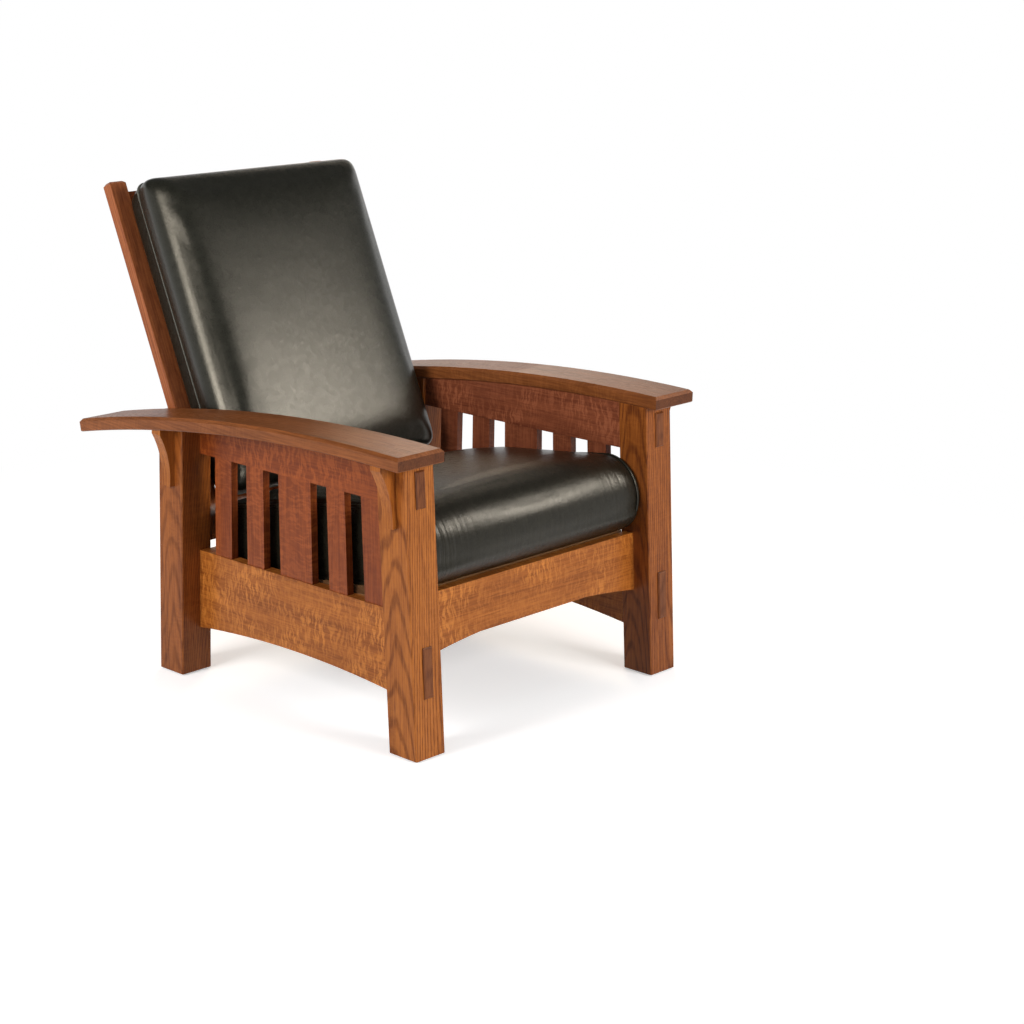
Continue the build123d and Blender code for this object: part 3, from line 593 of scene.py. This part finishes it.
rough = maths(tree, "MULTIPLY_ADD", pebbles, -0.05, 0.28)
rough = maths(tree, "MULTIPLY_ADD", mottle, 0.08, rough)
sideways = add(tree, "ShaderNodeSeparateXYZ", {0: place}).outputs["X"]
near_ends = ramp(tree, maths(tree, "ABSOLUTE", sideways), gather_start, gather_end)
gathers = noise_value(tree, scaled(tree, place, (125.0, 7.0, 7.0)), detail=2.0)
gathered = maths(tree, "MULTIPLY_ADD", near_ends, gather_rise, gather_depth)
gathered = maths(tree, "MULTIPLY", gathered, given["Gathers"])
gathers = maths(tree, "MULTIPLY", gathers, gathered)
grain_height = maths(tree, "MULTIPLY", pebbles, pebble_depth)
height = maths(tree, "MULTIPLY_ADD", folds, fold_depth, grain_height)
height = maths(tree, "ADD", height, gathers)
feed(tree, result, {"Color": colour, "Roughness": rough, "Height": height})


def leather_material(name, light, dark, shine=0.5, gathers=0.2):
    material, tree, shader, place = object_material(name)
    looks = {"Place": place["Object"], "Light": light, "Dark": dark, "Gathers": gathers}
    grain = add(tree, "ShaderNodeGroup", looks, node_tree=leather_group).outputs
    bump = {"Height": grain["Height"], "Strength": 0.5, "Distance": 0.0003}
    surface = {
        "Base Color": grain["Color"],
        "Roughness": grain["Roughness"],
        "Normal": add(tree, "ShaderNodeBump", bump).outputs[0],
        "Specular IOR Level": shine,
        "Specular Tint": (1.0, 0.965, 0.86, 1),
    }
    feed(tree, shader, surface)
    return material


black_leather = leather_material(
    "black_leather", (0.014, 0.014, 0.010, 1), (0.006, 0.006, 0.004, 1)
)
seat_leather = leather_material(
    "seat_leather", (0.016, 0.014, 0.009, 1), (0.007, 0.006, 0.004, 1), shine=0.27, gathers=1.0
)
# The piping is the same black leather, but given a much lighter colour: a painted highlight along
# its round.
piping_highlight_leather = leather_material(
    "piping_highlight_leather", (0.130, 0.130, 0.112, 1), (0.060, 0.060, 0.050, 1)
)
print("leather: cushions and piping")

# %% [markdown]
# ## Blowing up a cushion
# A real cushion is a sewn cover over foam that is slightly too big for it. The same happens
# here: the form starts a little too small, cloth physics inflates it, and the seams are
# pinned, so that the leather swells between them and stays drawn in along them. A soft cap
# on how far any point may move keeps the cushion inside its place in the chair. The foam
# inside gives only a few millimetres, so points that were drawn in are let back out. A few
# rounds of smoothing take out the creases that are finer than leather would show.

# %% Inflate
foam_give = 0.004
cloth_voxel = 0.0055
cloth_pressure = 4.0
cloth_frames = 20


def inflate(piece, pinned, cap, limits, rounds=6):
    """Voxel remesh, cloth pressure with some points pinned, and one subdivision."""
    activate(piece)
    piece.data.remesh_voxel_size = cloth_voxel
    bpy.ops.object.voxel_remesh()
    held = [v.index for v in piece.data.vertices if pinned(v.co, v.normal)]
    seams = piece.vertex_groups.new(name="seams")
    seams.add(held, 1.0, "ADD")
    start = [(v.co.copy(), v.normal.copy()) for v in piece.data.vertices]
    cloth = piece.modifiers.new("inflate", "CLOTH")
    cloth.settings.use_pressure = True
    cloth.settings.uniform_pressure_force = cloth_pressure
    cloth.settings.effector_weights.gravity = 0.0
    cloth.settings.vertex_group_mass = "seams"
    cloth.settings.quality = 5
    cloth.point_cache.frame_start = 1
    cloth.point_cache.frame_end = cloth_frames
    for step in range(1, cloth_frames + 1):
        bpy.context.scene.frame_set(step)
    bpy.ops.object.modifier_apply(modifier="inflate")
    bpy.context.scene.frame_set(1)
    for vertex, (before, outward) in zip(piece.data.vertices, start):
        moved = vertex.co - before
        inward = -moved.dot(outward)
        if inward > 0:
            moved += outward * inward * (1 - foam_give / (foam_give + inward))
        vertex.co = before + moved * (cap / (cap + moved.length))
    piece.vertex_groups.clear()
    bpy.ops.object.mode_set(mode="EDIT")
    bpy.ops.mesh.select_all(action="SELECT")
    bpy.ops.mesh.vertices_smooth(factor=0.5, repeat=rounds)
    bpy.ops.object.mode_set(mode="OBJECT")
    for vertex in piece.data.vertices:
        limits(vertex.co)
    smooth = piece.modifiers.new("smooth", "SUBSURF")
    smooth.levels = smooth.render_levels = 1
    bpy.ops.object.modifier_apply(modifier="smooth")
    bpy.ops.object.shade_smooth()
    print(piece.name, "held", len(held), "faces", len(piece.data.polygons))


def cord_along(points, radius, name):
    """A round cord through a ring of points, as piping and welts are."""
    line = bpy.data.curves.new(name, "CURVE")
    line.dimensions = "3D"
    spline = line.splines.new("NURBS")
    spline.points.add(len(points) - 1)
    for point, where in zip(spline.points, points):
        point.co = (*where, 1.0)
    spline.use_cyclic_u = True
    spline.order_u = 3
    spline.resolution_u = 3
    line.bevel_depth = radius
    line.bevel_resolution = 3
    cord = bpy.data.objects.new(name, line)
    bpy.context.collection.objects.link(cord)
    activate(cord)
    bpy.ops.object.convert(target="MESH")
    bpy.ops.object.shade_smooth()
    return cord


# %% [markdown]
# ## Seat cushion
# A thick block of foam with a full round front, higher at the front than at the rear. It is
# modelled level and then laid on the seat slats, which slope to the rear.

# %% Seat cushion form
seat_slope = math.radians(6.5)
deck_start = Vector((0, -0.42986, 0.30289))
on_deck = Matrix.Translation(deck_start) @ Matrix.Rotation(-seat_slope, 4, "X")
seat_half = 0.2965
seat_front, seat_rear = -0.0500, 0.5865
seat_base = 0.0015
seat_front_height, seat_rear_height = 0.163, 0.124
seat_fall = seat_front_height - seat_rear_height
fall_start = 0.10
nose_radius = 0.0800
nose_height = (seat_front_height + seat_base) / 2
seat_size = (2 * seat_half, seat_rear - seat_front, seat_front_height - seat_base)

seat_cushion = block("seat_leather", seat_size, (0, (seat_front + seat_rear) / 2, nose_height))
for where in (fall_start, 0.32):
    bpy.ops.mesh.select_all(action="SELECT")
    bpy.ops.mesh.bisect(plane_co=(0, where, 0), plane_no=(0, 1, 0))
pick(seat_cushion, "EDGE", lambda co: co.y > seat_rear - tolerance and co.z > 0.1)
bpy.ops.transform.translate(value=(0, 0, -seat_fall))

# %% [markdown]
# The front is rounded by a wide bevel. Low down it is drawn forward, so that it covers the
# front rail. Last, the middle of the top is raised into a crown.


# %% Seat cushion front and crown
def across_front(first, second):
    """Whether an edge runs from side to side at the front of the seat."""
    return abs(first.x - second.x) > 0.1 and max(first.y, second.y) < seat_front + tolerance


def across_rear(first, second):
    """Whether an edge runs from side to side at the rear of the seat."""
    return abs(first.x - second.x) > 0.1 and min(first.y, second.y) > seat_rear - tolerance


def lift_crown(lift, start, end):
    """Raises the middle of the seat's top between two places along it."""
    def on_crown(co):
        return abs(co.x) < 0.65 * seat_half and start < co.y < end and co.z > 0.12

    pick(seat_cushion, "VERT", on_crown)
    bpy.ops.transform.translate(value=(0, 0, lift))


pick_edges(seat_cushion, across_front)
bpy.ops.mesh.bevel(offset=nose_radius, segments=12, affect="EDGES")
pick(seat_cushion, "VERT", lambda co: co.y < 0.031 and co.z < 0.050)
bpy.ops.transform.translate(value=(0, -0.010, 0))
pick_edges(seat_cushion, across_rear)
bpy.ops.mesh.bevel(offset=0.009, segments=3, affect="EDGES")
for share in (-0.6, 0.0, 0.6):
    bpy.ops.mesh.select_all(action="SELECT")
    bpy.ops.mesh.bisect(plane_co=(share * seat_half, 0, 0), plane_no=(1, 0, 0))
lift_crown(0.007, seat_front, 0.04)
lift_crown(0.014, 0.09, 0.35)
lift_crown(0.003, 0.5, 0.7)
bpy.ops.object.mode_set(mode="OBJECT")
print("seat form:", len(seat_cushion.data.vertices), "vertices")

# %% [markdown]
# The edges of the end panels and the whole underside are held while the cover swells. The
# legs, the slats and the back frame then limit how far it reaches.

# %% Seat cushion inflated
seat_side_limit = 0.3045
seat_rear_limit = 0.5903
seat_lift = 0.0006


def seat_seam(co, normal):
    at_end = abs(co.x) > seat_half - 0.006 and abs(normal.x) < 0.93
    return at_end or normal.z < -0.92


def seat_limits(co):
    co.z = max(co.z, seat_lift)
    co.x = max(-seat_side_limit, min(seat_side_limit, co.x))
    co.y = min(co.y, seat_rear_limit)


inflate(seat_cushion, seat_seam, cap=0.022, limits=seat_limits)

# %% [markdown]
# A welt runs round each end panel. It lies on the seam, just proud of the leather. Its line
# goes round the nose from the top, back along the underside, up the rear and forward again.

# %% Seat welts
welt_radius = 0.0034
rear_radius = 0.014
foot_radius = 0.012
nose_turns = [math.radians(angle) for angle in range(0, 181, 15)]
welt_profile = [
    (seat_front + nose_radius * (1 - math.sin(turn)), nose_height + nose_radius * math.cos(turn))
    for turn in nose_turns
]
welt_profile += [(0.2, seat_base), (0.4, seat_base), (seat_rear - foot_radius, seat_base)]
welt_profile += [(seat_rear, seat_base + foot_radius), (seat_rear, seat_rear_height - rear_radius)]
for along in (seat_rear - rear_radius, 0.45, 0.32, 0.2):
    share = (along - fall_start) / (seat_rear - fall_start)
    welt_profile.append((along, seat_front_height - seat_fall * share))
welts = []
for side, name in ((1, "seat_welt_left"), (-1, "seat_welt_right")):
    points = [(side * (seat_half + 0.001), y, z) for y, z in welt_profile]
    welts.append(cord_along(points, welt_radius, name))
for piece in [seat_cushion, *welts]:
    settle(piece, on_deck)
    piece.data.materials.clear()
    piece.data.materials.append(seat_leather)
    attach(piece, "frame")
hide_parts("seat_cushion")

# %% [markdown]
# ## Back cushion
# The front panel wraps round both sides to a seam near the rear, where a thin piping runs all
# round. Behind the seam the sides draw in a little towards the plain rear panel, which lies
# against the posts and slats. The edge of the front is broad and soft, so that it mirrors a
# whole lamp. The cushion is modelled upright on the pivot and then leant back with the frame.

# %% Back cushion form
pivot = Vector(next(j for j in frame["joints"] if j["name"] == "back_recline")["pos_m"])
on_back = Matrix.Translation(pivot) @ Matrix.Rotation(-back_tilt, 4, "X")
stile_front = -0.0125
sheet = 0.001
# For each station from the rear to the front: how far forward, half the width, top and bottom.
back_stations = [
    (0.0015, 0.267, 0.720, 0.078),
    (0.016, 0.269, 0.729, 0.064),
    (0.032, 0.270, 0.733, 0.058),
    (0.047, 0.271, 0.735, 0.056),
    (0.074, 0.284, 0.737, 0.0558),
    (0.098, 0.2925, 0.735, 0.056),
    (0.112, 0.285, 0.729, 0.058),
    (0.124, 0.272, 0.721, 0.064),
    (0.132, 0.257, 0.709, 0.074),
    (0.136, 0.235, 0.685, 0.095),
    (0.137, 0.180, 0.600, 0.170),
]
seam_station = 3

forward, half, top, bottom = back_stations[0]
rear_middle = (0, stile_front - forward, (top + bottom) / 2)
back_cushion = block("back_leather", (2 * half, sheet, top - bottom), rear_middle)
pick(back_cushion, "FACE", lambda co: co.y < stile_front - forward)
for station in back_stations[1:]:
    new_forward, new_half, new_top, new_bottom = station
    bpy.ops.mesh.extrude_region_move(
        TRANSFORM_OT_translate={"value": (0, forward - new_forward, 0)}
    )
    old_middle, new_middle = (top + bottom) / 2, (new_top + new_bottom) / 2
    spread = (new_half / half, 1, (new_top - new_bottom) / (top - bottom))
    centre = (0, stile_front - new_forward, old_middle)
    bpy.ops.transform.resize(value=spread, center_override=centre)
    bpy.ops.transform.translate(value=(0, 0, new_middle - old_middle))
    forward, half, top, bottom = station
bpy.ops.object.mode_set(mode="OBJECT")
print("back form:", len(back_cushion.data.vertices), "vertices")

# %% [markdown]
# The four corners are rounded as seen from the front. Bevelling every edge that runs from the
# rear to the front does that in one step. The ring of points at the seam is kept for the
# piping.

# %% Back cushion corners
activate(back_cushion)
bpy.ops.object.mode_set(mode="EDIT")
pick_edges(back_cushion, lambda first, second: abs(first.y - second.y) > 2 * tolerance)
bpy.ops.mesh.bevel(offset=0.022, segments=4, affect="EDGES")
bpy.ops.object.mode_set(mode="OBJECT")
seam_face = stile_front - back_stations[seam_station][0]
seam_ring = sorted(
    (v.co.copy() for v in back_cushion.data.vertices if abs(v.co.y - seam_face) < tolerance),
    key=lambda co: math.atan2(co.z - 0.4, co.x),
)
print("seam ring:", len(seam_ring), "points")

# %% [markdown]
# The seam and the rear panel are held. The arms limit the width, and the foot stays clear of
# the seat.

# %% Back cushion inflated
back_side_limit = 0.2985
back_foot_limit = 0.0556
back_lift = 0.0004
piping_radius = 0.0030


def back_seam(co, normal):
    at_seam = abs(co.y - seam_face) < 0.0045 and abs(normal.y) < 0.85
    return at_seam or co.y > stile_front - 0.005


def back_limits(co):
    co.y = min(co.y, stile_front - back_lift)
    co.x = max(-back_side_limit, min(back_side_limit, co.x))
    co.z = max(co.z, back_foot_limit)


inflate(back_cushion, back_seam, cap=0.018, limits=back_limits, rounds=16)
back_piping = cord_along(seam_ring, piping_radius, "back_piping")
# The piping gets the lightened leather, which holds a painted highlight.
for piece, material in ((back_cushion, black_leather), (back_piping, piping_highlight_leather)):
    settle(piece, on_back)
    piece.data.materials.clear()
    piece.data.materials.append(material)
    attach(piece, "back")
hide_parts("back_cushion")
